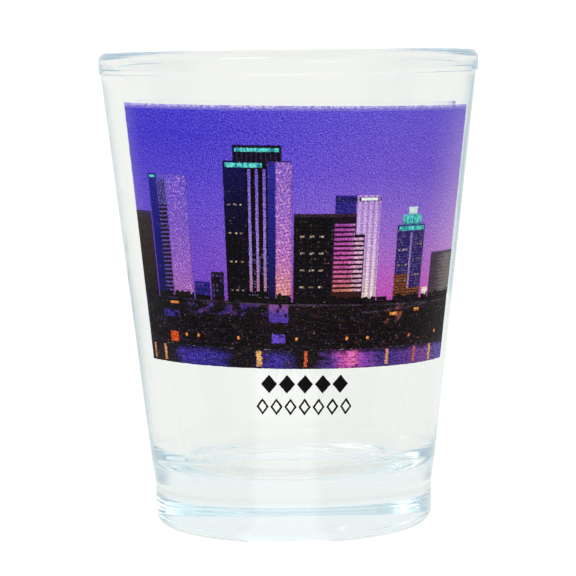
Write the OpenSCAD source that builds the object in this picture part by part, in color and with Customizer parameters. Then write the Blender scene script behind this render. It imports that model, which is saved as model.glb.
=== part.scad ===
// Souvenir shot glass: one pressed glass tumbler with a thick base, a printed picture of a
// made-up town at dusk wrapped part of the way round it, and a two-row ornament below.
// The foot stands on z = 0 with its centre at the origin. The print faces -Y.
// Angles on the wall run from -Y towards +X, in degrees.
// Places in the picture are fractions: across from -1 (left edge) to 1 (right edge), and
// up from 0 (bottom edge) to 1 (top edge).

/* [Glass] */
// Height of the glass
glass_h = 60; // [58:1:75]
// Outside diameter of the rim bead
rim_d = 48; // [44:0.5:56]
// Outside diameter of the foot
foot_d = 35.3; // [32:0.1:36]
// Outside diameter of the wall where it meets the foot
waist_d = 36.2; // [36:0.1:39]
// Inside diameter of the mouth
mouth_d = 43.6; // [40:0.2:43.8]
// Inside diameter of the cavity at its floor, before the floor fillet
floor_d = 27; // [26:0.2:32]
// Thickness of the solid base
base_t = 7.5; // [7:0.5:14]

/* [Edges] */
// Height of the straight foot
foot_h = 5.2; // [4:0.1:6]
// Height at which the tapered wall starts
waist_h = 8; // [7:0.1:9]
// Radius of the heel, where the foot meets the table
heel_r = 1.65; // [0.8:0.05:2.5]
// Radius of the cavity's floor fillet
floor_r = 4; // [2:0.5:6]
// Height of the rim bead
bead_h = 2.7; // [2:0.1:4]
// How far the rim bead stands out of the wall
bead_out = 0.3; // [0.1:0.05:0.5]
// Radius of the rim's outer and inner top edges
lip_r = 1.05; // [0.6:0.05:1.05]
// Diameter of the shallow hollow under the foot
punt_d = 25; // [18:0.5:28]
// Depth of the hollow under the foot
punt_h = 1; // [0.4:0.1:2]

/* [Print] */
// Angle that the picture covers round the wall
print_angle = 130; // [90:1:160]
// Height of the picture's bottom edge
print_z = 21.9; // [20:0.1:24]
// Height of the picture
print_h = 31.4; // [20:0.2:32]
// Angle by which the whole print leans clockwise on the glass, seen from the front
print_lean = 1.15; // [0:0.05:2]
// Thickness of one layer of ink
ink_t = 0.04; // [0.03:0.01:0.06]
// Height of the offset violet strip over the picture
strip_h = 0.3; // [0.2:0.05:0.6]
// Angle by which the same strip shows past each side of the picture
strip_a = 0.5; // [0.2:0.1:1]
// Height of the shore's lower edge, as a fraction of the picture
shore_low = 0.075; // [0.05:0.005:0.08]
// Height of the shore's upper edge, as a fraction of the picture
shore_top = 0.26; // [0.24:0.01:0.265]

/* [Ornament] */
// Height of the middle of the bold row
bold_z = 20.0; // [19.6:0.05:20.4]
// Width of a bold lozenge
bold_w = 1.95; // [1:0.05:2.1]
// Height of a bold lozenge
bold_h = 2.3; // [1.6:0.05:2.4]
// Angle from one bold lozenge to the next
bold_pitch = 6.4; // [6.2:0.1:8]
// Number of lozenges in the bold row
bold_count = 5; // [3:1:7]
// Height of the middle of the fine row
fine_z = 17.2; // [16:0.05:17.4]
// Width of a fine lozenge
fine_w = 1.5; // [1:0.05:1.6]
// Height of a fine lozenge
fine_h = 2.1; // [1.6:0.05:2.2]
// Size of a fine lozenge's hole, as a fraction of the lozenge
fine_hole = 0.62; // [0.4:0.02:0.8]
// Angle from one fine lozenge to the next
fine_pitch = 5.1; // [5:0.1:7]
// Number of lozenges in the fine row
fine_count = 7; // [3:1:9]

/* [Hidden] */
turn_fn = 180;
fillet_steps = 8;
bead_z = glass_h - bead_h;
rim_r = rim_d / 2;
foot_r = foot_d / 2;
waist_r = waist_d / 2;
mouth_r = mouth_d / 2;
cavity_slope = (mouth_d - floor_d) / 2 / (glass_h - base_t);
cavity_lean = atan(cavity_slope);
fillet_x = floor_d / 2 + cavity_slope * floor_r - floor_r / cos(cavity_lean);
print_top = print_z + print_h;
print_mid = print_z + print_h / 2;
bead_edge = 0.15;

// Ink layers, counted outwards from the glass
white_layer = 0;
ground_layer = 1;
block_layer = 2;
light_layer = 3;

// Outside radius of the tapered wall at height z
function wall_r(z) = waist_r + (z - waist_h) * (rim_r - bead_out - waist_r) / (bead_z - waist_h);

// Points of an arc about [x, z], from angle a0 to angle a1
function arc(x, z, r, a0, a1) = [
    for (i = [0 : fillet_steps])
        let (a = a0 + (a1 - a0) * i / fillet_steps)
            [x + r * cos(a), z + r * sin(a)]
];

// Domed hollow under the foot, from the axis out to the resting ring
function punt_curve() = [
    for (i = [0 : fillet_steps])
        let (s = i / fillet_steps)
            [punt_d / 2 * s, punt_h * (1 - s * s)]
];

// Half section of the glass, from the axis under the foot round to the cavity's floor
function glass_section() = concat(
    punt_curve(),
    arc(foot_r - heel_r, heel_r, heel_r, -90, 0),
    [[foot_r, foot_h], [waist_r, waist_h], [wall_r(bead_z), bead_z]],
    [[rim_r - bead_edge, bead_z], [rim_r, bead_z + bead_edge]],
    arc(rim_r - lip_r, glass_h - lip_r, lip_r, 0, 90),
    arc(mouth_r + lip_r, glass_h - lip_r, lip_r, 90, 180),
    arc(fillet_x, base_t + floor_r, floor_r, -cavity_lean, -90),
    [[0, base_t]]
);

// Angle round the wall of a place across the picture
function across(u) = u * print_angle / 2;

// Height of a place up the picture
function up(v) = print_z + v * print_h;

// Skin of one ink layer's thickness, lying on the tapered wall round the front
module skin(layer) {
    r_in = layer * ink_t;
    r_out = r_in + ink_t;
    half_a = print_angle / 2 + 5;
    low = waist_h + 1;
    high = bead_z - 1;
    rotate([0, 0, -half_a - 90])
        rotate_extrude(angle = 2 * half_a, $fn = 2 * turn_fn)
            polygon([
                [wall_r(low) + r_in, low],
                [wall_r(low) + r_out, low],
                [wall_r(high) + r_out, high],
                [wall_r(high) + r_in, high]
            ]);
}

// Ink where the children's outlines pass through the wall, leaning with the print
module film(layer) {
    intersection() {
        skin(layer);
        translate([0, 0, print_mid])
            rotate([0, print_lean, 0])
                translate([0, 0, -print_mid])
                    children();
    }
}

// Thick block between two angles and two heights, which outlines a piece of ink
module wedge(a0, a1, z0, z1) {
    r_low = foot_r / 2;
    r_high = rim_r + 2;
    rotate([0, 0, a0 - 90])
        rotate_extrude(angle = a1 - a0, $fn = 2 * turn_fn)
            polygon([[r_low, z0], [r_high, z0], [r_high, z1], [r_low, z1]]);
}

// Rectangle of the picture, given by its left, right, bottom and top fractions
module patch(left, right, low, high) {
    wedge(across(left), across(right), up(low), up(high));
}

// Row of equal windows across a front, with a gap of half a pitch between them
module window_row(left, right, low, high, count) {
    pitch = (right - left) / count;
    for (i = [0 : count - 1])
        patch(left + (i + 0.25) * pitch, left + (i + 0.75) * pitch, low, high);
}

// Upright lozenge at height z that passes out through the wall, w wide and h high
module lozenge(w, h, z) {
    translate([0, 0, z])
        rotate([90, 0, 0])
            linear_extrude(height = rim_r)
                polygon([[-w / 2, 0], [0, -h / 2], [w / 2, 0], [0, h / 2]]);
}

module glass_body() {
    color([0.86, 0.94, 0.95, 0.35])
        rotate_extrude($fn = turn_fn)
            polygon(glass_section());
}

module white_underbase() {
    color("white")
        film(white_layer)
            patch(-1, 1, 0, 1);
}

module sky_ink() {
    color([0.40, 0.29, 0.79])
        film(ground_layer)
            patch(-1, 1, shore_top, 1);
}

module water_ink() {
    color([0.16, 0.11, 0.32])
        film(ground_layer)
            patch(-1, 1, 0, shore_low);
}

module shore_ink() {
    color([0.06, 0.04, 0.08])
        film(ground_layer)
            patch(-1, 1, shore_low, shore_top);
}

// Violet ink printed a little off the white, along the top and both sides
module offset_strip_ink() {
    edge = print_angle / 2;
    color([0.62, 0.55, 0.86])
        film(white_layer)
            difference() {
                wedge(-edge - strip_a, edge + strip_a, print_z, print_top + strip_h);
                wedge(-edge, edge, print_z - 1, print_top);
            }
}

module far_left_block_ink() {
    color([0.16, 0.12, 0.13])
        film(block_layer)
            patch(-1, -0.87, shore_top, 0.59);
}

module left_tower_ink() {
    color([0.10, 0.10, 0.38])
        film(block_layer)
            patch(-0.86, -0.61, shore_top, 0.74);
}

module low_blocks_ink() {
    color([0.09, 0.08, 0.30])
        film(block_layer) {
            patch(-0.60, -0.51, shore_top, 0.33);
            patch(-0.50, -0.43, shore_top, 0.37);
            patch(0.38, 0.44, shore_top, 0.275);
            patch(0.69, 0.74, shore_top, 0.30);
        }
}

// The tall tower has a narrower top storey
module tall_tower_ink() {
    color([0.07, 0.06, 0.24])
        film(block_layer) {
            patch(-0.41, -0.08, shore_top, 0.80);
            patch(-0.36, -0.13, 0.79, 0.86);
        }
}

// The broad tower has a lower shoulder on its right
module broad_tower_ink() {
    color([0.07, 0.05, 0.10])
        film(block_layer)
            difference() {
                patch(-0.07, 0.29, shore_top, 0.60);
                patch(0.24, 0.30, 0.52, 0.61);
            }
}

// The pale tower stands behind the broad one, so it shows over it and beside it
module pale_tower_ink() {
    color([0.74, 0.66, 0.86])
        film(block_layer) {
            patch(0.13, 0.37, 0.60, 0.67);
            patch(0.24, 0.37, 0.52, 0.61);
            patch(0.29, 0.37, shore_top, 0.53);
        }
}

// The lit tower steps in twice towards its top
module lit_tower_ink() {
    color([0.13, 0.13, 0.42])
        film(block_layer) {
            patch(0.48, 0.67, shore_top, 0.55);
            patch(0.51, 0.64, 0.54, 0.59);
            patch(0.545, 0.605, 0.58, 0.62);
        }
}

module far_right_block_ink() {
    color([0.30, 0.25, 0.31])
        film(block_layer)
            patch(0.75, 1, shore_top, 0.435);
}

// Fronts of two towers that face the last of the sun
module sunlit_faces_ink() {
    color([0.78, 0.56, 0.82])
        film(light_layer) {
            patch(-0.735, -0.615, 0.27, 0.735);
            patch(-0.155, -0.085, 0.27, 0.795);
        }
}

// Lilac upright strips on the tower fronts
module facade_stripes_ink() {
    color([0.66, 0.55, 0.86])
        film(light_layer) {
            for (i = [0 : 2])
                patch(-0.29 + i * 0.036, -0.276 + i * 0.036, 0.30, 0.77);
            patch(0.568, 0.58, 0.30, 0.52);
        }
}

// Pink level bands on the broad tower's sunlit side, shorter over its shoulder
module facade_bands_ink() {
    color([0.78, 0.32, 0.66])
        film(light_layer)
            for (i = [0 : 14])
                patch(0.13, i < 12 ? 0.285 : 0.235, 0.30 + i * 0.018, 0.31 + i * 0.018);
}

// Lit windows in short rows, on the shaded fronts
module lit_windows_ink() {
    color([0.85, 0.74, 0.55])
        film(light_layer) {
            for (i = [0 : 3])
                window_row(-0.05, 0.09, 0.315 + i * 0.065, 0.322 + i * 0.065, 3);
            for (i = [0 : 2])
                window_row(0.49, 0.56, 0.33 + i * 0.06, 0.337 + i * 0.06, 3);
            for (i = [0 : 2])
                window_row(0.59, 0.66, 0.35 + i * 0.06, 0.357 + i * 0.06, 3);
            for (i = [0 : 3])
                window_row(-0.40, -0.31, 0.30 + i * 0.11, 0.306 + i * 0.11, 3);
        }
}

// Lit roof edges
module roof_lights_ink() {
    color([0.28, 0.72, 0.74])
        film(light_layer) {
            patch(-0.40, -0.22, 0.775, 0.793);
            patch(-0.35, -0.14, 0.835, 0.85);
            patch(0.49, 0.66, 0.528, 0.545);
            patch(0.515, 0.635, 0.556, 0.588);
            patch(0.55, 0.60, 0.594, 0.615);
            patch(-0.85, -0.81, 0.725, 0.735);
            patch(0.26, 0.35, 0.65, 0.66);
        }
}

// Orange and yellow lamps along the shore, drawn over the dark shore
module shore_lights_ink() {
    lamps = [-0.68, -0.60, -0.36, -0.05, 0.22, 0.34, 0.62, 0.86];
    color([0.93, 0.50, 0.20])
        film(block_layer) {
            for (u = lamps)
                patch(u - 0.008, u + 0.008, 0.11, 0.124);
            patch(-0.80, -0.74, 0.085, 0.125);
            patch(-0.78, -0.72, 0.235, 0.245);
            patch(0.47, 0.52, 0.20, 0.212);
            patch(0.64, 0.68, 0.21, 0.222);
        }
}

// Streaks of light on the water: [middle, width]
module reflections_ink() {
    streaks = [
        [-0.96, 0.025], [-0.86, 0.03], [-0.25, 0.045], [0.00, 0.025],
        [0.25, 0.10], [0.47, 0.03], [0.67, 0.025], [0.82, 0.035]
    ];
    color([0.90, 0.58, 0.42])
        film(block_layer)
            for (s = streaks)
                patch(s[0] - s[1] / 2, s[0] + s[1] / 2, 0.008, shore_low - 0.006);
}

// Angle of mark i in a centred row of count marks
function mark_angle(i, count, pitch_a) = (i - (count - 1) / 2) * pitch_a;

// Bold row: solid lozenges side by side
module bold_ornament_ink() {
    color([0.05, 0.05, 0.06])
        film(white_layer)
            for (i = [0 : bold_count - 1])
                rotate([0, 0, mark_angle(i, bold_count, bold_pitch)])
                    lozenge(bold_w, bold_h, bold_z);
}

// Fine row: open lozenges drawn with a thin line
module fine_ornament_ink() {
    color([0.05, 0.05, 0.06])
        film(white_layer)
            for (i = [0 : fine_count - 1])
                rotate([0, 0, mark_angle(i, fine_count, fine_pitch)])
                    difference() {
                        lozenge(fine_w, fine_h, fine_z);
                        lozenge(fine_w * fine_hole, fine_h * fine_hole, fine_z);
                    }
}

glass_body();
white_underbase();
sky_ink();
water_ink();
shore_ink();
offset_strip_ink();
far_left_block_ink();
left_tower_ink();
low_blocks_ink();
tall_tower_ink();
broad_tower_ink();
pale_tower_ink();
lit_tower_ink();
far_right_block_ink();
sunlit_faces_ink();
facade_stripes_ink();
facade_bands_ink();
lit_windows_ink();
roof_lights_ink();
shore_lights_ink();
reflections_ink();
bold_ornament_ink();
fine_ornament_ink();
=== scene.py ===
"""Souvenir shot glass: clear pressed glass with a printed dusk town and a lozenge ornament.

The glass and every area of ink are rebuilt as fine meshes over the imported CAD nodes. Places in the
print are fractions, as in the CAD: across from -1 to 1 and up from 0 to 1, kept as the UV map "print".
"""
import math
import random

import bpy
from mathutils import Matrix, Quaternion, Vector


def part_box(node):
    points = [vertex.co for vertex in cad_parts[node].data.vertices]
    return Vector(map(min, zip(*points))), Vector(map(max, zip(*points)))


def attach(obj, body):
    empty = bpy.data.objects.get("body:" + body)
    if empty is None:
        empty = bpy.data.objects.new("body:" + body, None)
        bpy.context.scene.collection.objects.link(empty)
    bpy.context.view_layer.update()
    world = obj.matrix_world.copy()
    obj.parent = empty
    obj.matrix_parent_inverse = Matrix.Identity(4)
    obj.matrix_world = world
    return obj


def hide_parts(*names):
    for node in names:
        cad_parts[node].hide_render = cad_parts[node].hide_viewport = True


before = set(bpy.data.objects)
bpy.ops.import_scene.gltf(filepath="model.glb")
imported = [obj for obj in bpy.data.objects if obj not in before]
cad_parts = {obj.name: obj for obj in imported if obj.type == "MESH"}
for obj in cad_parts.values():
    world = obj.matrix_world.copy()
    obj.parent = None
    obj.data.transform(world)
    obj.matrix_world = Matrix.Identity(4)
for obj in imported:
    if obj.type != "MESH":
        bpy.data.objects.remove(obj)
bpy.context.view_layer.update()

MM = 0.001
BODY = "root"

# ---------------------------------------------------------------- sizes, in mm
GLASS_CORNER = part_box("glass_body")[1] / MM
RIM_R = GLASS_CORNER.x
GLASS_H = GLASS_CORNER.z
FOOT_R = 17.65
WAIST_R = 18.1
MOUTH_R = 21.8
FLOOR_R = 13.5
BASE_T = 7.5
FOOT_H = 5.2
WAIST_H = 8.0
HEEL_R = 1.65
FILLET_R = 4.0
BEAD_H = 2.7
BEAD_OUT = 0.3
BEAD_EDGE_R = 0.2
BEAD_ROOT_R = 0.12
LIP_R = 1.05
PUNT_R = 12.5
PUNT_H = 1.0
BEAD_Z = GLASS_H - BEAD_H

PRINT_HALF_ANGLE = 65.0
PRINT_Z = 21.9
PRINT_H = 31.4
PRINT_LEAN = math.radians(1.15)
PRINT_MID = PRINT_Z + PRINT_H / 2
INK_T = 0.04
INK_SINK = 0.006


def wall_r(z):
    """Outside radius of the tapered wall at height z."""
    return WAIST_R + (z - WAIST_H) * (RIM_R - BEAD_OUT - WAIST_R) / (BEAD_Z - WAIST_H)


# ---------------------------------------------------------------- mesh helpers
def make_object(name, verts, faces, uvs=None, smooth=True):
    """New mesh object from points in mm; uvs holds one (across, up) pair for each point."""
    mesh = bpy.data.meshes.new(name)
    mesh.from_pydata([Vector(v) * MM for v in verts], [], faces)
    if uvs:
        layer = mesh.uv_layers.new(name="print")
        for loop in mesh.loops:
            layer.data[loop.index].uv = uvs[loop.vertex_index]
    mesh.polygons.foreach_set("use_smooth", [smooth] * len(mesh.polygons))
    mesh.update()
    obj = bpy.data.objects.new(name, mesh)
    bpy.context.scene.collection.objects.link(obj)
    return obj


def place(obj, material, nodes):
    """Gives a piece its material and its body, and hides the CAD nodes it stands for."""
    obj.data.materials.append(material)
    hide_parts(*nodes)
    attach(obj, BODY)


def arc(x, z, r, start, end, steps=14):
    """Points of an arc about (x, z) from one angle to another, in degrees."""
    angles = [math.radians(start + (end - start) * i / steps) for i in range(steps + 1)]
    return [(x + r * math.cos(a), z + r * math.sin(a)) for a in angles]


def run(p, q, steps):
    """Points strictly between p and q."""
    return [
        (p[0] + (q[0] - p[0]) * i / steps, p[1] + (q[1] - p[1]) * i / steps)
        for i in range(1, steps)
    ]


# ---------------------------------------------------------------- the glass
LATHE_STEPS = 480
PUNT_STEPS = 12
OUTER_STEPS = 50
INNER_STEPS = 46
FLOOR_STEPS = 8
WAVE_MM = 0.012
CAVITY_ASIDE = -0.25
ASIDE_DEPTH = 30
TRUE_RIM_H = 3


def glass_section():
    """Half section of the glass, from the axis under the foot round to the cavity's floor.

    The two arcs at the foot of the rim bead stop just short of level, and a tiny step joins them.
    """
    slope = (MOUTH_R - FLOOR_R) / (GLASS_H - BASE_T)
    lean = math.degrees(math.atan(slope))
    fillet_x = FLOOR_R + slope * FILLET_R - FILLET_R / math.cos(math.radians(lean))
    shares = [(i + 1) / PUNT_STEPS for i in range(PUNT_STEPS)]
    punt = [(PUNT_R * share, PUNT_H * (1 - share**2)) for share in shares]
    heel = arc(FOOT_R - HEEL_R, HEEL_R, HEEL_R, -90, 0)
    waist = [(FOOT_R, FOOT_H), (WAIST_R, WAIST_H)]
    bead_foot = arc(wall_r(BEAD_Z) + BEAD_ROOT_R, BEAD_Z - BEAD_ROOT_R, BEAD_ROOT_R, 177, 100, 5)
    bead = arc(RIM_R - BEAD_EDGE_R, BEAD_Z + BEAD_EDGE_R, BEAD_EDGE_R, -80, 0, 8)
    lip = arc(RIM_R - LIP_R, GLASS_H - LIP_R, LIP_R, 0, 90)
    inner_lip = arc(MOUTH_R + LIP_R, GLASS_H - LIP_R, LIP_R, 90, 180 + lean)
    fillet = arc(fillet_x, BASE_T + FILLET_R, FILLET_R, -lean, -90)
    floor = [(fillet_x * (1 - i / FLOOR_STEPS), BASE_T) for i in range(1, FLOOR_STEPS)]
    return (
        punt
        + run(punt[-1], heel[0], 4)
        + heel
        + run(heel[-1], waist[0], 5)
        + blend_curve(waist[0], waist[1], 8)
        + run(waist[1], bead_foot[0], OUTER_STEPS)
        + bead_foot
        + bead
        + run(bead[-1], lip[0], 4)
        + lip
        + inner_lip
        + run(inner_lip[-1], fillet[0], INNER_STEPS)
        + fillet
        + floor
    )


def blend_curve(p, q, steps):
    """Points from p to q, rising evenly; the radius starts level and soon grows evenly."""
    soft = 0.07
    points = []
    for i in range(steps + 1):
        t = i / steps
        ease = (math.hypot(t, soft) - soft) / (math.hypot(1, soft) - soft)
        points.append((p[0] + (q[0] - p[0]) * ease, p[1] + (q[1] - p[1]) * t))
    return points


def wave(z, angle):
    """Slight unevenness of the pressed inner wall, in mm."""
    return WAVE_MM * (math.sin(3 * angle + z * 0.11) + 0.6 * math.sin(5 * angle - z * 0.23 + 1.3))


def build_glass():
    """The section turned about the axis; below the rim the cavity is uneven and a little aside."""
    section = glass_section()
    lip_top = max(range(len(section)), key=lambda i: section[i][1])
    verts = [(0, 0, PUNT_H)]
    for i, (r, z) in enumerate(section):
        inside = i > lip_top and z < GLASS_H - TRUE_RIM_H
        aside = CAVITY_ASIDE * min(1, (GLASS_H - z) / ASIDE_DEPTH) if inside else 0
        for k in range(LATHE_STEPS):
            angle = 2 * math.pi * k / LATHE_STEPS
            uneven_r = r + (wave(z, angle) * min(1, r / MOUTH_R) if inside else 0)
            verts.append((uneven_r * math.sin(angle) + aside, -uneven_r * math.cos(angle), z))
    verts.append((CAVITY_ASIDE, 0, BASE_T))
    faces = []
    top = len(verts) - 1
    last = 1 + (len(section) - 1) * LATHE_STEPS
    for k in range(LATHE_STEPS):
        n = (k + 1) % LATHE_STEPS
        faces.append((0, 1 + n, 1 + k))
        faces.append((top, last + k, last + n))
        for i in range(len(section) - 1):
            a = 1 + i * LATHE_STEPS
            b = a + LATHE_STEPS
            faces.append((a + k, a + n, b + n, b + k))
    return make_object("glass_tumbler", verts, faces)


# ---------------------------------------------------------------- ink meshes
# Grid spacing is in print fractions. The fine grid is for the ink over the sky and the ground.
GRID_U = 0.01
GRID_V = 0.025
FINE_GRID = 0.008
RAGGED_MM = 0.028
MM_ACROSS = math.radians(PRINT_HALF_ANGLE) * wall_r(PRINT_MID)
MM_UP = PRINT_H


def on_wall(u, v, out):
    """Point on the wall at a place in the leaning print, out mm away from the glass.

    The radius depends on the height, and the height on the radius, so a few rounds settle both.
    """
    angle = math.radians(u * PRINT_HALF_ANGLE)
    rise = v * PRINT_H + PRINT_Z - PRINT_MID
    r = wall_r(PRINT_MID)
    for _ in range(8):
        x = r * math.sin(angle) * math.cos(PRINT_LEAN) + rise * math.sin(PRINT_LEAN)
        y = -r * math.cos(angle)
        z = PRINT_MID + rise * math.cos(PRINT_LEAN) - r * math.sin(angle) * math.sin(PRINT_LEAN)
        r += wall_r(z) + out - math.hypot(x, y)
    return (x, y, z)


def in_print(point):
    """(across, up) of a point of the frame, given in metres: the reverse of on_wall."""
    x, y, z = point.x / MM, point.y / MM, point.z / MM - PRINT_MID
    flat_x = x * math.cos(PRINT_LEAN) - z * math.sin(PRINT_LEAN)
    rise = x * math.sin(PRINT_LEAN) + z * math.cos(PRINT_LEAN)
    angle = math.degrees(math.atan2(flat_x, -y))
    return angle / PRINT_HALF_ANGLE, (rise + PRINT_MID - PRINT_Z) / PRINT_H


def slab(name, points, faces, layer, seed=0):
    """Closed sheet of ink from a flat mesh of (across, up) points; faces run anticlockwise.

    Its underside lies a little inside what it is printed on, so that no gap shows.
    """
    edges = set()
    for f in faces:
        edges.update(zip(f, f[1:] + f[:1]))
    rim = [(a, b) for (a, b) in edges if (b, a) not in edges]
    rim.sort()
    points = ragged(points, {a for a, _ in rim}, seed)
    low = layer * INK_T - INK_SINK
    high = layer * INK_T + INK_T
    n = len(points)
    verts = [on_wall(u, v, high) for u, v in points] + [on_wall(u, v, low) for u, v in points]
    shell = list(faces) + [tuple(i + n for i in reversed(f)) for f in faces]
    shell += [(b, a, a + n, b + n) for a, b in rim]
    obj = make_object(name, verts, shell, points + points, smooth=False)
    for polygon in obj.data.polygons:
        polygon.use_smooth = polygon.index < 2 * len(faces)
    return obj


def ragged(points, outer, seed):
    """The points, with those on the outline moved a little, as ink spreads unevenly."""
    rng = random.Random(seed)
    moved = []
    for i, (u, v) in enumerate(points):
        if i in outer:
            u += rng.uniform(-1, 1) * RAGGED_MM / MM_ACROSS
            v += rng.uniform(-1, 1) * RAGGED_MM / MM_UP
        moved.append((u, v))
    return moved


def steps_between(values, pitch):
    """Sorted grid lines through the given values, with none further apart than pitch."""
    values = sorted(set(round(v, 6) for v in values))
    lines = []
    for a, b in zip(values, values[1:]):
        k = max(1, math.ceil((b - a) / pitch - 1e-9))
        lines += [a + (b - a) * i / k for i in range(k)]
    return lines + [values[-1]]


def rect_mesh(rects, pitch_u=GRID_U, pitch_v=GRID_V):
    """Flat grid mesh that covers every (left, right, low, high) rectangle."""
    us = steps_between([r[0] for r in rects] + [r[1] for r in rects], pitch_u)
    vs = steps_between([r[2] for r in rects] + [r[3] for r in rects], pitch_v)
    index, points, faces = {}, [], []

    def corner(i, j):
        if (i, j) not in index:
            index[(i, j)] = len(points)
            points.append((us[i], vs[j]))
        return index[(i, j)]

    for i in range(len(us) - 1):
        for j in range(len(vs) - 1):
            u, v = (us[i] + us[i + 1]) / 2, (vs[j] + vs[j + 1]) / 2
            if any(r[0] < u < r[1] and r[2] < v < r[3] for r in rects):
                faces.append((corner(i, j), corner(i + 1, j), corner(i + 1, j + 1), corner(i, j + 1)))
    return points, faces


def join_flat(parts):
    """One flat mesh from several (points, faces)."""
    points, faces = [], []
    for more, shapes in parts:
        faces += [tuple(i + len(points) for i in f) for f in shapes]
        points += more
    return points, faces


def ring_mesh(outline, middle, hole=0.0, rings=5):
    """Flat mesh between an outline and the same outline shrunk about its middle."""
    n = len(outline)
    points, faces = [], []
    for k in range(rings + 1):
        size = 1 - (1 - hole) * k / rings
        if size > 0:
            points += [
                (middle[0] + (u - middle[0]) * size, middle[1] + (v - middle[1]) * size)
                for u, v in outline
            ]
            if k:
                a, b = (k - 1) * n, k * n
                faces += [(a + i, a + (i + 1) % n, b + (i + 1) % n, b + i) for i in range(n)]
    if hole == 0:
        last = len(points) - n
        points.append(middle)
        faces += [(last + i, last + (i + 1) % n, len(points) - 1) for i in range(n)]
    return points, faces


def lozenge(rect, hole=0.0, side_steps=6):
    """Flat lozenge that fills a (left, right, low, high) rectangle."""
    left, right, low, high = rect
    u, v = (left + right) / 2, (low + high) / 2
    corners = [(u, low), (right, v), (u, high), (left, v)]
    outline = []
    for start, end in zip(corners, corners[1:] + corners[:1]):
        outline += [start] + run(start, end, side_steps)
    return ring_mesh(outline, (u, v), hole, rings=3 if hole else 6)


def disc(rect, steps=16):
    """Flat round spot that fills a rectangle."""
    left, right, low, high = rect
    u, v = (left + right) / 2, (low + high) / 2
    turns = [2 * math.pi * i / steps for i in range(steps)]
    outline = [(u + (right - u) * math.cos(t), v + (high - v) * math.sin(t)) for t in turns]
    return ring_mesh(outline, (u, v), rings=2)


def streak(rect, seed, steps=14):
    """Flat upright streak of light with a wavering outline, as wide as its rectangle."""
    rng = random.Random(seed)
    left, right, low, high = rect
    half = (right - left) / 2
    points, faces = [], []
    columns = 3
    for j in range(steps + 1):
        v = low + (high - low) * j / steps
        drift = rng.uniform(-0.25, 0.25) * half
        width = half * rng.uniform(0.55, 0.8)
        for i in range(columns + 1):
            points.append(((left + right) / 2 + drift + width * (2 * i / columns - 1), v))
    for j in range(steps):
        for i in range(columns):
            a = j * (columns + 1) + i
            faces.append((a, a + 1, a + columns + 2, a + columns + 1))
    return points, faces


def islands(node):
    """(left, right, low, high) in print fractions of each separate solid of a CAD ink node.

    Points that lie within 0.1 micrometre of each other count as one.
    """
    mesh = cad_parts[node].data
    group = list(range(len(mesh.vertices)))

    def find(i):
        while group[i] != i:
            group[i] = group[group[i]]
            i = group[i]
        return i

    at = {}
    for vertex in mesh.vertices:
        place_key = tuple(round(c * 1e7) for c in vertex.co)
        group[find(vertex.index)] = find(at.setdefault(place_key, vertex.index))
    for e in mesh.edges:
        group[find(e.vertices[0])] = find(e.vertices[1])
    boxes = {}
    for vertex in mesh.vertices:
        u, v = in_print(vertex.co)
        b = boxes.setdefault(find(vertex.index), [u, u, v, v])
        boxes[find(vertex.index)] = [min(b[0], u), max(b[1], u), min(b[2], v), max(b[3], v)]
    return sorted(tuple(round(x, 4) for x in b) for b in boxes.values())


# ---------------------------------------------------------------- shader helpers
def srgb(r, g, b):
    """Linear colour from 0 to 255 screen values."""
    def lin(c):
        c /= 255
        return c / 12.92 if c <= 0.04045 else ((c + 0.055) / 1.055) ** 2.4
    return (lin(r), lin(g), lin(b), 1)


class Val:
    """A number in a shader, with ordinary arithmetic."""

    def __init__(self, graph, socket):
        self.graph = graph
        self.socket = socket

    def op(self, kind, *others, clamp=False):
        node = self.graph.tree.nodes.new("ShaderNodeMath")
        node.operation = kind
        node.use_clamp = clamp
        for i, x in enumerate((self,) + others):
            self.graph.feed(x, node.inputs[i])
        return Val(self.graph, node.outputs[0])

    def __add__(self, x):
        return self.op("ADD", x)

    def __sub__(self, x):
        return self.op("SUBTRACT", x)

    def __mul__(self, x):
        return self.op("MULTIPLY", x)

    def __truediv__(self, x):
        return self.op("DIVIDE", x)

    def floor(self):
        return self.op("FLOOR")

    def fract(self):
        return self.op("FRACT")

    def clamp(self):
        return self.op("ADD", 0.0, clamp=True)

    def above(self, x):
        return self.op("GREATER_THAN", x)

    def below(self, x):
        return self.op("LESS_THAN", x)

    def within(self, low, high):
        """1 where the value lies between low and high, else 0."""
        return self.above(low) * self.below(high)

    def ease(self, low, high):
        """Smooth step from 0 at low to 1 at high; low may be the greater."""
        node = self.graph.tree.nodes.new("ShaderNodeMapRange")
        node.interpolation_type = "SMOOTHSTEP"
        self.graph.feed(self, node.inputs["Value"])
        node.inputs["From Min"].default_value = low
        node.inputs["From Max"].default_value = high
        return Val(self.graph, node.outputs["Result"])


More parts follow.
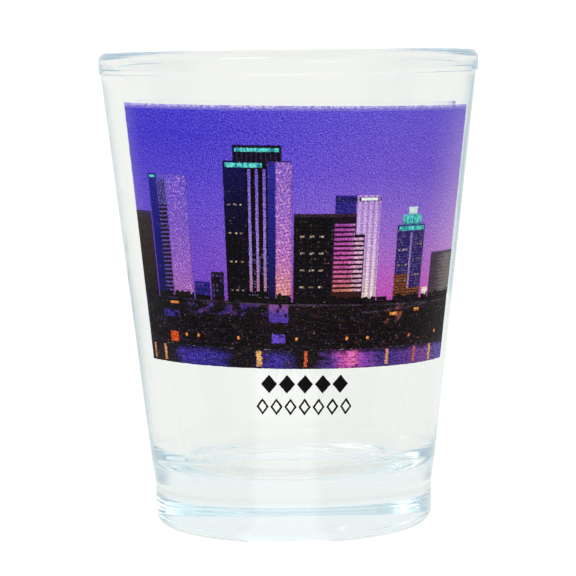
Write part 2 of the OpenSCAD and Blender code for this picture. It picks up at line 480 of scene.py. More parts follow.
class Graph:
    """Short names for the shader nodes that the materials and the studio use."""

    def __init__(self, tree):
        self.tree = tree

    def link(self, a, b):
        self.tree.links.new(a, b)

    def feed(self, x, socket):
        """Gives an input socket a Val, another node's output or a constant."""
        if isinstance(x, Val):
            self.link(x.socket, socket)
        elif isinstance(x, bpy.types.NodeSocket):
            self.link(x, socket)
        else:
            socket.default_value = x

    def axes(self, kind):
        """x, y and z of one kind of texture coordinate, as numbers."""
        coord = self.tree.nodes.new("ShaderNodeTexCoord")
        split = self.tree.nodes.new("ShaderNodeSeparateXYZ")
        self.link(coord.outputs[kind], split.inputs[0])
        return [Val(self, socket) for socket in split.outputs]

    def place_in_print(self):
        """(across, up) as numbers."""
        uv = self.tree.nodes.new("ShaderNodeUVMap")
        uv.uv_map = "print"
        split = self.tree.nodes.new("ShaderNodeSeparateXYZ")
        self.link(uv.outputs[0], split.inputs[0])
        return Val(self, split.outputs[0]), Val(self, split.outputs[1])

    def vector(self, x, y, z=0.0):
        node = self.tree.nodes.new("ShaderNodeCombineXYZ")
        for value, socket in zip((x, y, z), node.inputs):
            self.feed(value, socket)
        return node.outputs[0]

    def noise(self, x, y, detail=2.0, seed=0.0, distortion=0.0):
        node = self.tree.nodes.new("ShaderNodeTexNoise")
        node.noise_dimensions = "3D"
        node.inputs["Scale"].default_value = 1.0
        node.inputs["Detail"].default_value = detail
        node.inputs["Distortion"].default_value = distortion
        self.link(self.vector(x, y, seed), node.inputs["Vector"])
        return Val(self, node.outputs["Fac"])

    def random(self, x, y, seed=0.0):
        """One random number for each whole (x, y)."""
        node = self.tree.nodes.new("ShaderNodeTexWhiteNoise")
        node.noise_dimensions = "3D"
        self.link(self.vector(x.floor(), y.floor(), seed), node.inputs["Vector"])
        return Val(self, node.outputs["Value"])

    def mix(self, amount, a, b, kind="MIX"):
        node = self.tree.nodes.new("ShaderNodeMix")
        node.data_type = "RGBA"
        node.blend_type = kind
        self.feed(amount, node.inputs["Factor"])
        self.feed(a, node.inputs[6])
        self.feed(b, node.inputs[7])
        node.clamp_result = kind != "MIX"
        return node.outputs[2]

    def gamma(self, colour, power):
        node = self.tree.nodes.new("ShaderNodeGamma")
        self.feed(colour, node.inputs["Color"])
        node.inputs["Gamma"].default_value = power
        return node.outputs[0]

    def ramp(self, value, stops):
        """Colour from (position, colour) stops."""
        node = self.tree.nodes.new("ShaderNodeValToRGB")
        elements = node.color_ramp.elements
        while len(elements) < len(stops):
            elements.new(0.5)
        for element, (position, colour) in zip(elements, sorted(stops)):
            element.position = position
            element.color = colour
        self.feed(value, node.inputs[0])
        return node.outputs[0]


def new_material(name):
    material = bpy.data.materials.new(name)
    material.use_nodes = True
    shader = material.node_tree.nodes["Principled BSDF"]
    return material, Graph(material.node_tree), shader


# ---------------------------------------------------------------- glass material
def glass_material():
    """Clear glass with a faint tint in its depth, slight ripples and a few soft smears."""
    material, g, shader = new_material("clear_glass")
    shader.inputs["Base Color"].default_value = (0.990, 0.994, 0.992, 1)
    shader.inputs["Transmission Weight"].default_value = 1.0
    shader.inputs["IOR"].default_value = 1.515
    x, y, z = g.axes("Object")
    ripple = g.tree.nodes.new("ShaderNodeTexNoise")
    ripple.inputs["Scale"].default_value = 90.0
    ripple.inputs["Detail"].default_value = 2.0
    g.link(g.vector(x, y, z * 0.35), ripple.inputs["Vector"])
    smear = g.tree.nodes.new("ShaderNodeTexNoise")
    smear.inputs["Scale"].default_value = 220.0
    smear.inputs["Detail"].default_value = 4.0
    g.link(g.vector(x, y, z), smear.inputs["Vector"])
    rough = Val(g, smear.outputs["Fac"]).ease(0.45, 0.85) * 0.03 + 0.004
    g.feed(rough, shader.inputs["Roughness"])
    bump = g.tree.nodes.new("ShaderNodeBump")
    bump.inputs["Strength"].default_value = 0.07
    bump.inputs["Distance"].default_value = 0.00006
    g.link(ripple.outputs["Fac"], bump.inputs["Height"])
    g.link(bump.outputs[0], shader.inputs["Normal"])
    body = g.tree.nodes.new("ShaderNodeVolumeAbsorption")
    body.inputs["Color"].default_value = (0.56, 0.81, 0.88, 1)
    body.inputs["Density"].default_value = 8.0
    out = g.tree.nodes["Material Output"]
    g.link(body.outputs[0], out.inputs["Volume"])
    return material


# ---------------------------------------------------------------- ink finish
SCREEN_GAMMA = 2.2
SHAKE_MM = 0.34


def add_grain_and_glints(g, colour, x, y, grain_and_glints):
    """The colour with a fine slanting texture, partly the print's own graininess and partly painted
    glints of the bumpy ink, that looks as strong in light ink as in dark.
    """
    slant = g.noise(x * 8.0 - y * 3.6, x * 2.0 + y * 5.2, detail=1.0, seed=3.0, distortion=0.5)
    dots = g.noise(x * 10.0, y * 10.0, detail=1.0, seed=7.0)
    # Near-white light and shade added to the colour: partly the print's graininess, partly painted glints
    # of the bumpy ink.
    shade = (slant - 0.5) * grain_and_glints + (dots - 0.5) * (grain_and_glints * 0.6)
    seen = g.gamma(colour, 1 / SCREEN_GAMMA)
    seen = g.mix(1.0, seen, g.vector(shade, shade * 0.95, shade * 0.72), "ADD")
    return g.gamma(seen, SCREEN_GAMMA), slant


def ink_material(name, paint, grain_and_glints):
    """Printed ink: paint(g, u, v) gives the picture's colour, to which the print's graininess and painted
    glints are added.
    """
    material, g, shader = new_material(name)
    u, v = g.place_in_print()
    x, y = u * MM_ACROSS, v * MM_UP
    shake_u = (g.noise(x * 5.0, y * 5.0, detail=1.0, seed=31.0) - 0.5) * (SHAKE_MM / MM_ACROSS)
    shake_v = (g.noise(x * 5.0, y * 5.0, detail=1.0, seed=32.0) - 0.5) * (SHAKE_MM / MM_UP)
    colour, slant = add_grain_and_glints(g, paint(g, u + shake_u, v + shake_v), x, y, grain_and_glints)
    g.link(colour, shader.inputs["Base Color"])
    g.feed(slant.ease(0.2, 0.8) * 0.16 + 0.42, shader.inputs["Roughness"])
    shader.inputs["Specular IOR Level"].default_value = 0.05
    bump = g.tree.nodes.new("ShaderNodeBump")
    bump.inputs["Strength"].default_value = 0.5
    bump.inputs["Distance"].default_value = 0.00002
    g.feed(slant, bump.inputs["Height"])
    g.link(bump.outputs[0], shader.inputs["Normal"])
    return material


# ---------------------------------------------------------------- patterns that the paints share
SPECK_MM = 0.12
BRIGHT_SHARE = 0.12
TREE_V = 0.262


def windows(g, a, b, columns, rows, wide, tall, seed):
    """(1 inside each window of a grid, one random number per window)."""
    across, up = a * columns, b * rows
    in_width = across.fract().within(0.5 - wide / 2, 0.5 + wide / 2)
    in_height = up.fract().within(0.5 - tall / 2, 0.5 + tall / 2)
    return in_width * in_height, g.random(across, up, seed)


def boxed(u, v, left, right, low, high):
    """1 inside a rectangle of the print, else 0."""
    return u.within(left, right) * v.within(low, high)


def plain(g, red, green, blue):
    """A plain colour, from screen values."""
    node = g.tree.nodes.new("ShaderNodeRGB")
    node.outputs[0].default_value = srgb(red, green, blue)
    return node.outputs[0]


def floor_lines(v, rows, share, slope=0.0, u=None):
    """1 on the thin level lines between storeys, leaning by slope across the front."""
    lift = v if u is None else v + u * slope
    return (lift * rows).fract().below(share)


def cells(g, u, v, seed):
    """One random number for each small square cell of the print."""
    return g.random(u * (MM_ACROSS / SPECK_MM), v * (MM_UP / SPECK_MM), seed)


def warm_specks(g, u, v, base, rare, seed):
    """Ground with scattered dim specks, the fewer the nearer rare is to 1, and a few bright ones."""
    kind = cells(g, u, v, seed + 9.0)
    dim = g.ramp(kind, [
        (0.0, srgb(40, 26, 22)), (0.35, srgb(32, 22, 58)),
        (0.6, srgb(50, 40, 40)), (1.0, srgb(26, 16, 18)),
    ])
    bright = g.ramp(kind, [
        (0.0, srgb(120, 62, 36)), (0.4, srgb(88, 76, 80)),
        (0.7, srgb(84, 62, 140)), (1.0, srgb(170, 126, 80)),
    ])
    ground = g.mix(cells(g, u, v, seed).above(rare) * 0.85, base, dim)
    brightest = cells(g, u, v, seed + 4.0).above(1 - (1 - rare) * BRIGHT_SHARE)
    return g.mix(brightest * 0.8, ground, bright)


def treeline(g, u, v, base, height=0.03):
    """The base of a front, hidden by a ragged dark line of trees."""
    tops = g.noise(u * 26.0, 0.0, detail=3.0, seed=40.0) * (2 * height) + (TREE_V - 0.5 * height)
    return g.mix((v - tops).below(0.0), base, srgb(9, 6, 8))


# ---------------------------------------------------------------- the picture
# Each paint gives the colour of one ink at (across, up) in the print.
def paint_white(g, u, v):
    return plain(g, 240, 240, 245)


def paint_strip(g, u, v):
    wash = g.noise(u * 90.0, v * 80.0, seed=4.0).ease(0.42, 0.6)
    return g.mix(wash, srgb(204, 197, 243), srgb(146, 130, 226))


def paint_sky(g, u, v):
    left = g.ramp(v, [
        (0.28, srgb(110, 66, 190)), (0.45, srgb(105, 68, 194)), (0.60, srgb(97, 70, 200)),
        (0.75, srgb(82, 63, 200)), (0.90, srgb(65, 53, 198)), (1.0, srgb(70, 58, 200)),
    ])
    right = g.ramp(v, [
        (0.26, srgb(198, 80, 182)), (0.34, srgb(186, 94, 192)), (0.45, srgb(166, 108, 201)),
        (0.60, srgb(138, 102, 208)), (0.75, srgb(114, 84, 206)), (1.0, srgb(102, 84, 210)),
    ])
    # Painted sheen: the sky turns lighter and paler towards its right edge.
    sheen_edge = g.ramp(v, [
        (0.28, srgb(206, 130, 205)), (0.5, srgb(190, 150, 217)), (0.75, srgb(160, 132, 212)),
        (1.0, srgb(128, 111, 213)),
    ])
    sky = g.mix(u.ease(-0.75, 0.62), left, right)
    sky = g.mix(u.ease(0.62, 1.02) * 0.85, sky, sheen_edge)
    # Painted sheen: a faint lighter band along the left edge.
    sky = g.mix((u * -1.0).ease(0.88, 1.04) * 0.3, sky, srgb(150, 130, 214))
    return g.mix(v.ease(0.988, 0.998) * 0.35, sky, srgb(190, 180, 238))


def paint_brown_block(g, u, v):
    base = g.ramp(v, [
        (0.26, srgb(22, 15, 17)), (0.45, srgb(42, 32, 32)),
        (0.56, srgb(50, 40, 46)), (0.6, srgb(66, 52, 92)),
    ])
    inside, pick = windows(g, u, v, 34, 72, 0.5, 0.5, 3.0)
    base = g.mix(inside * pick, base, srgb(22, 15, 17))
    return treeline(g, u, v, warm_specks(g, u, v, base, 0.93, 3.0))


def sunlit_violet(g, u, v):
    """Front of the left tower that faces the sun, with small windows."""
    face = g.ramp(v, [
        (0.27, srgb(166, 100, 170)), (0.38, srgb(150, 94, 190)),
        (0.55, srgb(122, 84, 196)), (0.73, srgb(106, 80, 200)),
    ])
    inside, pick = windows(g, u + v * 0.02, v, 78, 118, 0.6, 0.5, 15.0)
    face = g.mix(inside * 0.5, face, srgb(96, 66, 176))
    return g.mix(inside * pick.above(0.8) * 0.5, face, srgb(214, 168, 228))


def paint_left_tower(g, u, v):
    shaft_left, sunlit_left = -0.80, -0.742
    fins_low, cap_low = 0.62, 0.72
    navy = g.ramp(v, [(0.26, srgb(14, 12, 84)), (0.5, srgb(16, 16, 116)), (0.74, srgb(34, 33, 148))])
    navy = g.mix(floor_lines(v, 118.0, 0.34, 0.12, u) * 0.5, navy, srgb(12, 10, 62))
    bars = g.mix(floor_lines(v, 62.0, 0.45, -0.05, u), srgb(11, 8, 14), srgb(92, 68, 150))
    fins = g.mix((u * 95.0).fract().below(0.4), srgb(14, 12, 44), srgb(110, 96, 200))
    shaft = g.mix(v.above(fins_low), bars, fins)
    shaft = g.mix(v.above(cap_low), shaft, srgb(96, 80, 196))
    face = g.mix(u.above(shaft_left), navy, shaft)
    face = g.mix(u.above(sunlit_left), face, sunlit_violet(g, u, v))
    return treeline(g, u, v, warm_specks(g, u, v, face, 0.97, 5.0), 0.04)


def paint_low_blocks(g, u, v):
    dark_left, brown_left, cream_left = -0.505, 0.1, 0.6
    base = g.mix(u.above(dark_left), srgb(36, 30, 122), srgb(13, 9, 15))
    inside, pick = windows(g, u, v, 46, 52, 0.5, 0.55, 6.0)
    lit = g.mix(pick.above(0.6), srgb(16, 12, 48), srgb(80, 62, 128))
    base = g.mix(inside * 0.8, base, lit)
    brown = g.mix(floor_lines(v, 120.0, 0.4), srgb(150, 74, 100), srgb(60, 30, 44))
    base = g.mix(u.above(brown_left), base, brown)
    cream = g.mix(floor_lines(v, 75.0, 0.25) * 0.6, srgb(250, 238, 222), srgb(190, 110, 90))
    base = g.mix(u.above(cream_left), base, cream)
    return treeline(g, u, v, warm_specks(g, u, v, base, 0.96, 6.0))


def sunlit_ribs(g, u, v):
    """Front of the tall tower that faces the sun, ribbed across."""
    face = g.ramp(v, [
        (0.27, srgb(228, 144, 102)), (0.33, srgb(214, 130, 130)), (0.42, srgb(188, 108, 180)),
        (0.60, srgb(152, 100, 200)), (0.79, srgb(132, 92, 200)),
    ])
    face = g.mix(floor_lines(v, 74.0, 0.45, -0.16, u) * 0.55, face, srgb(118, 62, 160))
    blush = g.noise(u * 90.0, v * 60.0, seed=44.0).ease(0.5, 0.68)
    return g.mix(blush * 0.45, face, srgb(244, 206, 232))


def paint_tall_tower(g, u, v):
    core_left, shade_left, sunlit_left = -0.30, -0.196, -0.158
    lit_high, crown_low = 0.47, 0.797
    front = g.ramp(v, [
        (0.26, srgb(5, 3, 5)), (0.49, srgb(6, 4, 7)), (0.55, srgb(6, 3, 28)), (0.78, srgb(14, 9, 70)),
    ])
    inside, pick = windows(g, u, v, 74, 96, 0.5, 0.5, 8.0)
    front = g.mix(inside * pick.above(0.75) * 0.35, front, srgb(40, 33, 90))
    core = g.mix(inside * pick.above(0.62) * v.below(lit_high), srgb(5, 3, 6), srgb(104, 94, 140))
    shade = g.ramp(v, [(0.26, srgb(16, 12, 50)), (0.45, srgb(26, 24, 112)), (0.8, srgb(48, 40, 160))])
    shade = g.mix(floor_lines(v, 96.0, 0.35) * 0.5, shade, srgb(12, 9, 56))
    face = g.mix(u.above(core_left), front, core)
    face = g.mix(u.above(shade_left), face, shade)
    crown = g.mix((u * 44.0).fract().below(0.25), srgb(9, 6, 10), srgb(36, 30, 86))
    face = g.mix(v.above(crown_low), face, crown)
    face = g.mix(u.above(sunlit_left) * v.below(crown_low), face, sunlit_ribs(g, u, v))
    return treeline(g, u, v, warm_specks(g, u, v, face, 0.95, 8.0))


def paint_broad_tower(g, u, v):
    bow_middle, bow_low, bow_depth = 0.02, 0.3, 1.6
    side_left, lip_low, lip_right = 0.122, 0.588, 0.24
    bow = (u - bow_middle) * (u - bow_middle) * (v - bow_low) * bow_depth
    inside, pick = windows(g, u + v * 0.02, v + bow, 58, 62, 0.55, 0.5, 9.0)
    dim = g.ramp(pick, [
        (0.0, srgb(8, 5, 12)), (0.5, srgb(20, 14, 40)), (0.8, srgb(34, 26, 28)), (1.0, srgb(72, 62, 54)),
    ])
    face = g.mix(inside * 0.85, srgb(5, 3, 5), dim)
    side = g.ramp(v, [(0.27, srgb(52, 24, 22)), (0.4, srgb(46, 18, 36)), (0.58, srgb(24, 10, 28))])
    face = g.mix(u.above(side_left), face, side)
    lip = v.above(lip_low) * u.below(lip_right)
    face = g.mix(lip * 0.6, face, srgb(64, 40, 60))
    return treeline(g, u, v, warm_specks(g, u, v, face, 0.95, 9.0))


def paint_pale_tower(g, u, v):
    light_left, fins_left = 0.238, 0.246
    dots_low, dots_high = 0.646, 0.662
    navy = g.mix(floor_lines(v, 120.0, 0.4, 0.1, u) * 0.5, srgb(40, 32, 132), srgb(20, 14, 78))
    light = g.ramp(v, [
        (0.27, srgb(252, 230, 200)), (0.36, srgb(246, 214, 220)),
        (0.48, srgb(226, 192, 236)), (0.66, srgb(192, 158, 226)),
    ])
    fins = ((u - fins_left) * 33.0).fract().ease(0.35, 0.75)
    light = g.mix(fins * 0.65, light, srgb(144, 98, 192))
    light = g.mix(floor_lines(v, 92.0, 0.45) * 0.25, light, srgb(130, 84, 160))
    face = g.mix(u.above(light_left), navy, light)
    dots = (u * 52.0).fract().below(0.5) * v.within(dots_low, dots_high)
    return treeline(g, u, v, g.mix(dots, face, srgb(22, 16, 46)))


def paint_lit_tower(g, u, v):
    corner, left_high, right_high = 0.565, 0.36, 0.305
    steps_low = 0.549
    navy = g.mix(floor_lines(v, 92.0, 0.4), srgb(28, 20, 84), srgb(58, 46, 120))
    inside, pick = windows(g, u, v, 96, 92, 0.5, 0.5, 12.0)
    navy = g.mix(inside * pick.above(0.62) * 0.6, navy, srgb(146, 124, 152))
    low = g.mix(inside, srgb(62, 30, 24), srgb(168, 92, 50))
    low_part = v.below(left_high) * u.below(corner) + v.below(right_high) * u.above(corner)
    face = g.mix(low_part.clamp(), navy, low)
    step = g.ramp(v, [
        (0.55, srgb(60, 110, 160)), (0.60, srgb(140, 196, 212)), (0.62, srgb(214, 236, 236)),
    ])
    return treeline(g, u, v, g.mix(v.above(steps_low), face, step))


def paint_grey_block(g, u, v):
    roof_low = 0.425
    base = g.mix(u.ease(0.78, 0.94), srgb(66, 50, 68), srgb(122, 115, 116))
    inside, pick = windows(g, u, v, 60, 72, 0.55, 0.5, 14.0)
    base = g.mix(inside * pick * 0.9, base, srgb(40, 32, 40))
    base = g.mix(v.above(roof_low) * 0.7, base, srgb(70, 56, 88))
    return treeline(g, u, v, base)


def paint_sunlit(g, u, v):
    between_towers = -0.4
    face = g.mix(u.above(between_towers), sunlit_violet(g, u, v), sunlit_ribs(g, u, v))
    return treeline(g, u, v, face, 0.05)


def paint_stripes(g, u, v):
    tone = g.ramp(v, [
        (0.30, srgb(186, 124, 150)), (0.42, srgb(158, 128, 206)),
        (0.6, srgb(140, 110, 210)), (0.77, srgb(112, 86, 200)),
    ])
    return g.mix(floor_lines(v, 100.0, 0.4) * 0.5, tone, srgb(78, 54, 150))


def paint_bands(g, u, v):
    tone = g.ramp(v, [
        (0.30, srgb(214, 124, 96)), (0.35, srgb(206, 98, 146)),
        (0.45, srgb(198, 80, 176)), (0.58, srgb(168, 74, 178)),
    ])
    tone = g.mix(u.ease(0.2, 0.27) * 0.8, tone, srgb(236, 200, 230))
    rough = g.noise(u * 80.0, v * 60.0, seed=46.0).ease(0.46, 0.6)
    return g.mix(rough * 0.45, tone, srgb(104, 34, 90))


def paint_lit_windows(g, u, v):
    pick = g.random(u * 90.0, v * 60.0, 17.0)
    return g.ramp(pick, [
        (0.0, srgb(60, 46, 60)), (0.4, srgb(120, 98, 100)),
        (0.8, srgb(170, 146, 124)), (1.0, srgb(222, 200, 170)),
    ])


def paint_roof_lights(g, u, v):
    wash = g.noise(u * 75.0, v * 34.0, detail=3.0, seed=18.0)
    teal = g.mix(wash.ease(0.40, 0.60), srgb(30, 128, 150), srgb(98, 218, 206))
    white = g.mix(wash.ease(0.45, 0.65), srgb(206, 234, 230), srgb(250, 252, 244))
    lit_tower_top = v.above(0.59) * u.above(0.5)
    pale_tower_row = v.within(0.648, 0.662) * u.above(0.25)
    return g.mix((lit_tower_top + pale_tower_row).clamp(), teal, white)


def paint_shore(g, u, v):
    base = g.mix(v.ease(0.12, 0.26), srgb(4, 2, 4), srgb(10, 7, 9))
    cloud = g.noise(u * 16.0, v * 26.0, detail=4.0, seed=19.0)
    blocky = g.random(u * 70.0, v * 60.0, 41.0)
    ledge = boxed(u, v, -0.66, -0.12, 0.205, 0.25) * cloud.ease(0.5, 0.6)
    house = boxed(u, v, -0.195, -0.095, 0.18, 0.25) * blocky.above(0.12)
    hut = boxed(u, v, -0.18, -0.11, 0.10, 0.135)
    shed = boxed(u, v, -0.84, -0.72, 0.18, 0.21)
    high_road = (v + u * 0.012).within(0.246, 0.252)
    low_road = (v - u * 0.05).within(0.196, 0.201) * u.above(0.3)
    glow = boxed(u, v, 0.40, 0.56, 0.17, 0.245) * cloud.ease(0.52, 0.66)
    decks = g.noise(u * 12.0, v * 110.0, detail=3.0, seed=43.0).ease(0.52, 0.68)
    deck_ink = g.mix(u.ease(-0.9, 0.2), srgb(44, 30, 66), srgb(58, 34, 34))
    ledge_ink = g.mix(blocky.above(0.5), srgb(92, 54, 130), srgb(54, 38, 124))
    house_ink = g.mix(v.ease(0.2, 0.25), srgb(84, 58, 172), srgb(134, 78, 150))
    base = g.mix(decks * 0.55, base, deck_ink)
    base = g.mix(ledge * 0.75, base, ledge_ink)
    base = g.mix(house * 0.95, base, house_ink)
    base = g.mix(hut * cloud.ease(0.3, 0.5), base, srgb(100, 72, 198))
    base = g.mix(shed * blocky.above(0.35) * 0.8, base, srgb(56, 44, 148))
    roads = (high_road + low_road).clamp() * cloud.ease(0.38, 0.55)
    base = g.mix(roads * 0.6, base, srgb(84, 72, 92))
    base = g.mix(glow * 0.8, base, srgb(170, 92, 72))
    return warm_specks(g, u, v, base, 0.86, 19.0)


def paint_water(g, u, v):
    blur = g.noise(u * 9.0, v * 40.0, detail=3.0, seed=20.0) * 0.16 - 0.08
    tone = g.ramp((u + blur) * 0.5 + 0.5, [
        (0.02, srgb(16, 9, 12)), (0.11, srgb(26, 16, 38)), (0.14, srgb(62, 46, 166)),
        (0.26, srgb(56, 42, 150)), (0.30, srgb(10, 6, 10)), (0.36, srgb(12, 8, 20)),
        (0.42, srgb(70, 54, 172)), (0.455, srgb(46, 32, 104)), (0.48, srgb(10, 6, 9)),
        (0.535, srgb(16, 9, 20)), (0.57, srgb(92, 56, 156)), (0.61, srgb(218, 92, 190)),
        (0.66, srgb(150, 72, 192)), (0.72, srgb(60, 46, 130)), (0.78, srgb(92, 56, 154)),
        (0.88, srgb(132, 74, 168)), (0.96, srgb(108, 88, 178)),
    ])
    ripple = g.noise(u * 30.0, v * 150.0, detail=3.0, seed=21.0)
    tone = g.mix(ripple.ease(0.46, 0.66) * 0.75, tone, srgb(18, 9, 22))
    bank = (v + g.noise(u * 18.0, v * 20.0, detail=3.0, seed=42.0) * 0.05).ease(0.075, 0.095)
    tone = g.mix(bank * 0.85, tone, srgb(12, 8, 11))
    return warm_specks(g, u, v, tone, 0.90, 20.0)


def paint_lamps(g, u, v):
    heat = g.noise(u * 70.0, v * 60.0, detail=1.0, seed=22.0)
    lamp = g.mix(heat.ease(0.4, 0.62), srgb(196, 74, 20), srgb(248, 172, 90))
    sign = g.mix(heat.ease(0.4, 0.7), srgb(188, 56, 10), srgb(226, 96, 32))
    return g.mix(v.below(0.13) * u.below(-0.7), lamp, sign)


def paint_reflections(g, u, v):
    tone = g.ramp(u * 0.5 + 0.5, [
        (0.02, srgb(206, 140, 90)), (0.07, srgb(224, 160, 96)), (0.37, srgb(238, 182, 110)),
        (0.5, srgb(226, 96, 40)), (0.62, srgb(236, 110, 196)), (0.735, srgb(236, 160, 130)),
        (0.83, srgb(206, 92, 60)), (0.91, srgb(240, 180, 110)),
    ])
    ripple = g.noise(u * 30.0, v * 150.0, detail=3.0, seed=23.0)
    return g.mix(ripple.ease(0.45, 0.62) * 0.7, tone, srgb(70, 26, 50))


def paint_black(g, u, v):
    return plain(g, 10, 8, 10)


# node: (layer, paint, strength of the print's graininess and painted glints)
INKS = {
    "white_underbase": (0, paint_white, 0.25),
    "offset_strip_ink": (0, paint_strip, 0.3),
    "sky_ink": (1, paint_sky, 0.72),
    "water_ink": (1, paint_water, 0.7),
    "shore_ink": (1, paint_shore, 0.42),
    "far_left_block_ink": (2, paint_brown_block, 0.45),
    "left_tower_ink": (2, paint_left_tower, 0.5),
    "low_blocks_ink": (2, paint_low_blocks, 0.5),
    "tall_tower_ink": (2, paint_tall_tower, 0.38),
    "broad_tower_ink": (2, paint_broad_tower, 0.34),
    "pale_tower_ink": (2, paint_pale_tower, 0.85),
    "lit_tower_ink": (2, paint_lit_tower, 0.6),
    "far_right_block_ink": (2, paint_grey_block, 0.7),
    "shore_lights_ink": (2, paint_lamps, 0.7),
    "reflections_ink": (2, paint_reflections, 0.9),
    "sunlit_faces_ink": (3, paint_sunlit, 1),
    "facade_stripes_ink": (3, paint_stripes, 1),
    "facade_bands_ink": (3, paint_bands, 1),
    "lit_windows_ink": (3, paint_lit_windows, 1),
    "roof_lights_ink": (3, paint_roof_lights, 0.8),
    "bold_ornament_ink": (0, paint_black, 0.2),
    "fine_ornament_ink": (0, paint_black, 0.2),
}
# (left, right, low, high) of each step of the fronts that aren't one rectangle
STEPPED = {
    "tall_tower_ink": [(-0.41, -0.08, 0.26, 0.80), (-0.36, -0.13, 0.80, 0.86)],
    "broad_tower_ink": [(-0.07, 0.24, 0.26, 0.60), (0.24, 0.29, 0.26, 0.52)],
    "pale_tower_ink": [(0.13, 0.37, 0.60, 0.67), (0.24, 0.37, 0.52, 0.60), (0.29, 0.37, 0.26, 0.52)],
    "lit_tower_ink": [(0.48, 0.67, 0.26, 0.55), (0.51, 0.64, 0.55, 0.59), (0.545, 0.605, 0.59, 0.62)],
}
FINE_HOLE = 0.62
LAMP_WIDEST = 0.02
STRIP_DEGREES = 0.5
STRIP_MM = 0.3
STRIP_U = STRIP_DEGREES / PRINT_HALF_ANGLE
STRIP_V = STRIP_MM / PRINT_H


def ink_shape(node, layer):
    """Flat mesh of one ink area, from the places of its CAD solids."""
    pitch = (FINE_GRID, FINE_GRID) if layer > 1 else (GRID_U, GRID_V)
    if node in STEPPED:
        return rect_mesh(STEPPED[node], *pitch)
    if node == "offset_strip_ink":
        sides = [(-1 - STRIP_U, -1, 0, 1 + STRIP_V), (1, 1 + STRIP_U, 0, 1 + STRIP_V)]
        return rect_mesh(sides + [(-1, 1, 1, 1 + STRIP_V)], *pitch)
    rects = islands(node)
    if node == "bold_ornament_ink":
        return join_flat([lozenge(r) for r in rects])
    if node == "fine_ornament_ink":
        return join_flat([lozenge(r, FINE_HOLE) for r in rects])
    if node == "reflections_ink":
        return join_flat([streak(r, i) for i, r in enumerate(rects)])
    if node == "shore_lights_ink":
        is_lamp = [r[1] - r[0] < LAMP_WIDEST for r in rects]
        return join_flat([disc(r) if lamp else rect_mesh([r], *pitch) for r, lamp in zip(rects, is_lamp)])
    return join_flat([rect_mesh([r], *pitch) for r in rects])


def build_print():
    for i, (node, (layer, paint, grain_and_glints)) in enumerate(INKS.items()):
        points, faces = ink_shape(node, layer)
        obj = slab(node.replace("_ink", "_film"), points, faces, layer, seed=i)
        place(obj, ink_material(node, paint, grain_and_glints), [node])


# ---------------------------------------------------------------- studio
# The floor lies a little below the foot, as glass that touches it turns black there.
FLOOR_HALF = 4000
FLOOR_Z = -0.05
FLOOR_GLOW = (0.545, 0.545, 0.505, 1)
FLOOR_SEEN = (0.70, 0.70, 0.70, 1)
WORLD_GLOW = (0.94, 0.94, 0.94, 1)
WORLD_SIDES = (0.42, 0.55, 0.62, 1)
WORLD_SIDE_EDGE = (0.6, 0.95)
WORLD_SEEN = (1.15, 1.15, 1.15, 1)
GLARE = (1.9, 1.9, 1.9, 1)
GLARE_ASIDE = 0.21
GLARE_NEAR = 0.015
GLARE_FAR = 0.11
GLARE_SOFT = 0.02
GLARE_EDGE = (0.2, 0.07)
BOUNCES = 256
DIFFUSE_BOUNCES = 8


def glare(path, x, y):
    """1 on a patch of floor, in metres, for the rays that a shiny surface has mirrored, else 0.

    The patch is the near part of a wedge that widens in front of the glass. Its mirror image is
    the soft glare down the middle of the base.
    """
    off = x - y * GLARE_ASIDE
    wedge = (off * off / (y * y)).ease(*GLARE_EDGE)
    patch = wedge * y.ease(-GLARE_FAR - GLARE_SOFT, -GLARE_FAR + GLARE_SOFT) * y.below(-GLARE_NEAR)
    return patch * Val(x.graph, path.outputs["Is Reflection Ray"]) * path.outputs["Is Glossy Ray"]


def stage_floor():
    """Pale floor just under the foot; the camera sees it brighter than the glass does."""
    floor = make_object(
        "studio_floor",
        [(x * FLOOR_HALF, y * FLOOR_HALF, FLOOR_Z) for x, y in [(-1, -1), (1, -1), (1, 1), (-1, 1)]],
        [(0, 1, 2, 3)],
    )
    material, g, shader = new_material("studio_floor")
    shader.inputs["Base Color"].default_value = (0.35, 0.35, 0.35, 1)
    shader.inputs["Roughness"].default_value = 0.6
    shader.inputs["Specular IOR Level"].default_value = 0.1
    path = g.tree.nodes.new("ShaderNodeLightPath")
    x, y, _ = g.axes("Object")
    glow = g.mix(glare(path, x, y), FLOOR_GLOW, GLARE)
    glow = g.mix(Val(g, path.outputs["Is Camera Ray"]), glow, FLOOR_SEEN)
    g.link(glow, shader.inputs["Emission Color"])
    shader.inputs["Emission Strength"].default_value = 1.0
    floor.data.materials.append(material)


def stage_world():
    """White surroundings that darken to the left and right, and give the glass its edges."""
    world = bpy.data.worlds.new("studio")
    bpy.context.scene.world = world
    world.use_nodes = True
    g = Graph(world.node_tree)
    background = world.node_tree.nodes["Background"]
    x = g.axes("Generated")[0]
    light = g.mix((x * x).ease(*WORLD_SIDE_EDGE), WORLD_GLOW, WORLD_SIDES)
    path = g.tree.nodes.new("ShaderNodeLightPath")
    seen = g.mix(Val(g, path.outputs["Is Camera Ray"]), light, WORLD_SEEN)
    g.link(seen, background.inputs["Color"])
    background.inputs["Strength"].default_value = 1.0


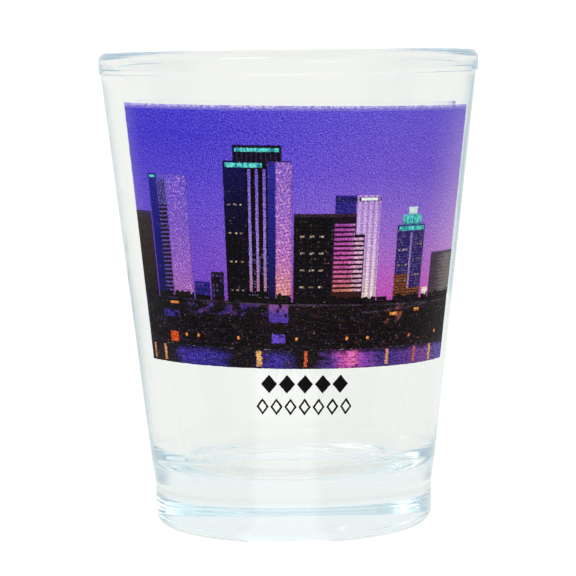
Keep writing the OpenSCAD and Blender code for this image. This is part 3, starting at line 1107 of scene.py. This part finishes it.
def area_light(name, at, size, power):
    """Soft light at a place in metres, turned towards the middle of the glass."""
    middle = Vector((0, 0, 0.03))
    light = bpy.data.lights.new(name, "AREA")
    light.shape = "RECTANGLE"
    light.size, light.size_y = size
    light.energy = power
    obj = bpy.data.objects.new(name, light)
    obj.location = Vector(at)
    obj.rotation_euler = (middle - obj.location).to_track_quat("-Z", "Y").to_euler()
    bpy.context.scene.collection.objects.link(obj)


CAMERA_AZIMUTH = -5.5
CAMERA_DISTANCE = 333.3
CAMERA_HEIGHT = 62.1
CAMERA_PITCH = 5.53
CAMERA_ROLL = -0.74
CAMERA_ASIDE = -0.39
CAMERA_LENS = 164.0


def stage_camera():
    """Camera in front of the glass, at the photo's angle and framing."""
    data = bpy.data.cameras.new("camera")
    data.lens = CAMERA_LENS
    data.sensor_width = 36.0
    data.clip_start = 0.01
    data.clip_end = 20.0
    cam = bpy.data.objects.new("camera", data)
    a = math.radians(CAMERA_AZIMUTH)
    back = Vector((math.sin(a), -math.cos(a), 0))
    side = Vector((math.cos(a), math.sin(a), 0))
    cam.location = (back * CAMERA_DISTANCE + side * CAMERA_ASIDE) * MM
    cam.location.z = CAMERA_HEIGHT * MM
    pitch = math.radians(CAMERA_PITCH)
    aim = -back * math.cos(pitch) - Vector((0, 0, math.sin(pitch)))
    cam.rotation_mode = "QUATERNION"
    roll = Quaternion((0, 0, 1), math.radians(CAMERA_ROLL))
    cam.rotation_quaternion = aim.to_track_quat("-Z", "Y") @ roll
    bpy.context.scene.collection.objects.link(cam)
    bpy.context.scene.camera = cam


stage_camera()
stage_floor()
stage_world()
area_light("key", at=(-0.5, -0.7, 0.8), size=(0.5, 0.5), power=2.0)
place(build_glass(), glass_material(), ["glass_body"])
build_print()
bpy.context.scene.view_settings.view_transform = "Standard"
# Light that is caught in thick glass needs many bounces to leave it, or the glass turns grey.
cycles = bpy.context.scene.cycles
cycles.max_bounces = BOUNCES
cycles.transmission_bounces = BOUNCES
cycles.glossy_bounces = BOUNCES
cycles.diffuse_bounces = DIFFUSE_BOUNCES
cycles.blur_glossy = 0.0
